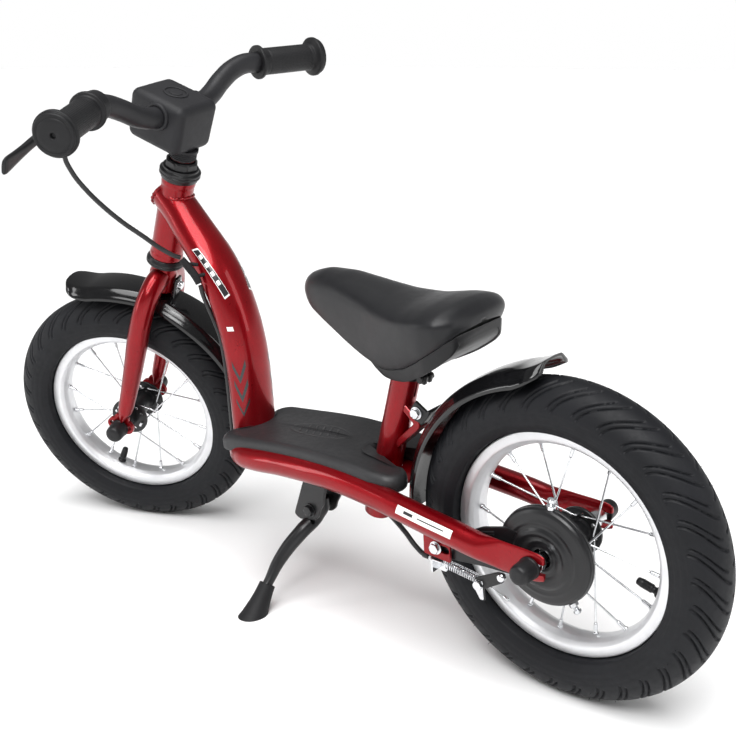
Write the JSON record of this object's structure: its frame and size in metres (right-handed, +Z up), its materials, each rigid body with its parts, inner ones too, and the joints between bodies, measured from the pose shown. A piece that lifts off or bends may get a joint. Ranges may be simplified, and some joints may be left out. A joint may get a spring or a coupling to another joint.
{
  "type": "balance bike",
  "caption": "Child's pedal-less balance bike with a steerable front wheel, spoked wheels, foot platform, mudguards, rear drum-band brake with hand lever, side stand and saddle.",
  "frame": {"origin": "centre of the bounding box on the floor, under the middle of the bike as it stands on both tyres and its side stand", "axes": "+X towards the front wheel, +Y to the rider's left, +Z up; the bike leans 5 degrees to its left onto the stand and the bars are turned left"},
  "size_m": [0.9074, 0.446, 0.5898],
  "materials": {
    "red_paint": "metallic gloss",
    "black_paint": "satin",
    "black_plastic": "satin",
    "black_gloss_plastic": "gloss",
    "black_rubber": "matte",
    "tyre_rubber": "matte",
    "saddle_skin": "satin",
    "steel": "satin",
    "rim_alloy": "satin",
    "spoke_steel": "polished"
  },
  "bodies": {
    "frame": {"rail_tubes": "red_paint", "head_tube": "red_paint", "down_tube": "red_paint", "seat_tube": "red_paint", "platform_plate": "red_paint", "step_pad": "black_rubber", "upper_headset_cup": "black_paint", "lower_headset_cup": "black_paint", "rear_axle": "steel", "rear_axle_cap_left": "black_plastic", "rear_axle_cap_right": "black_plastic", "rear_mudguard": "black_gloss_plastic", "rear_mudguard_bracket": "black_paint", "rear_mudguard_bolt": "steel", "brake_cover": "black_paint", "brake_anchor_bolt": "steel", "cable_stop": "steel", "brake_cable_lower": "black_plastic", "cable_guide": "black_rubber", "kickstand_bracket": "black_paint", "kickstand_pivot_bolt": "steel", "seat_clamp": "black_paint", "brake_adjuster_top": "steel", "brake_adjuster_bottom": "steel"},
    "fork": {"fork_steerer": "red_paint", "fork_leg_left": "red_paint", "fork_leg_right": "red_paint", "headset_locknut": "black_paint", "front_axle": "steel", "front_axle_cap_left": "black_plastic", "front_axle_cap_right": "black_plastic", "front_mudguard": "black_gloss_plastic", "front_mudguard_bolt": "steel"},
    "handlebar_set": {"stem": "black_paint", "handlebar": "black_paint", "stem_cover": "black_plastic", "grip_left": "black_rubber", "grip_right": "black_rubber", "brake_lever_clamp": "black_plastic", "brake_cable_upper": "black_plastic"},
    "brake_lever": {"brake_lever": "black_plastic"},
    "front_wheel": {"front_tyre": "tyre_rubber", "front_rim": "rim_alloy", "front_hub": "black_paint", "front_spokes": "spoke_steel", "front_valve": "black_rubber"},
    "rear_wheel": {"rear_tyre": "tyre_rubber", "rear_rim": "rim_alloy", "rear_hub": "black_paint", "rear_spokes": "spoke_steel", "rear_valve": "black_rubber", "brake_drum": "steel"},
    "kickstand": {"kickstand_leg": "black_paint", "kickstand_foot": "black_rubber"},
    "brake_arm": {"brake_arm": "steel", "cable_pinch_bolt": "steel", "brake_spring": "steel"},
    "saddle": {"seat_post": "steel", "saddle_cover": "saddle_skin", "saddle_base": "black_plastic"}
  },
  "joints": [
    {"name": "steering", "type": "hinge", "parent": "frame", "child": "fork", "pos_m": [0.30802, -0.04336, 0.14811], "axis": [-0.3872, 0.0803, 0.9185], "range_deg": [-66, 20], "deforming": ["brake_cable_upper"]},
    {"name": "handlebar_height", "type": "slide", "parent": "fork", "child": "handlebar_set", "axis": [-0.3872, 0.0803, 0.9185], "range_m": [0, 0.03]},
    {"name": "brake_lever_pull", "type": "hinge", "parent": "handlebar_set", "child": "brake_lever", "pos_m": [0.16164, 0.12457, 0.5132], "axis": [0.3183, 0.4266, 0.8466], "range_deg": [0, 16], "stiffness_Nm_per_rad": 0.4, "springref_deg": -8.59},
    {"name": "front_wheel_spin", "type": "hinge", "parent": "fork", "child": "front_wheel", "pos_m": [0.31143, -0.04147, 0.14938], "axis": [-0.3986, 0.8837, -0.2452], "continuous": true},
    {"name": "rear_wheel_spin", "type": "hinge", "parent": "frame", "child": "rear_wheel", "pos_m": [-0.30119, -0.04309, 0.15259], "axis": [-0.0002, 0.9962, -0.0872], "continuous": true},
    {"name": "kickstand_swing", "type": "hinge", "parent": "frame", "child": "kickstand", "pos_m": [-0.00141, -0.03711, 0.10547], "axis": [-0.0002, 0.9962, -0.0872], "range_deg": [0, 80]},
    {"name": "brake_arm_pull", "type": "hinge", "parent": "frame", "child": "brake_arm", "pos_m": [-0.26134, -0.00288, 0.11877], "axis": [0.0002, -0.9962, 0.0872], "range_deg": [0, 11], "deforming": ["brake_spring"]},
    {"name": "saddle_height", "type": "slide", "parent": "frame", "child": "saddle", "axis": [-0.2817, 0.0836, 0.9558], "range_m": [0, 0.06]}
  ],
  "couplings": [
    {"joint": "brake_arm_pull", "follows": "brake_lever_pull", "ratio": 0.66}
  ]
}
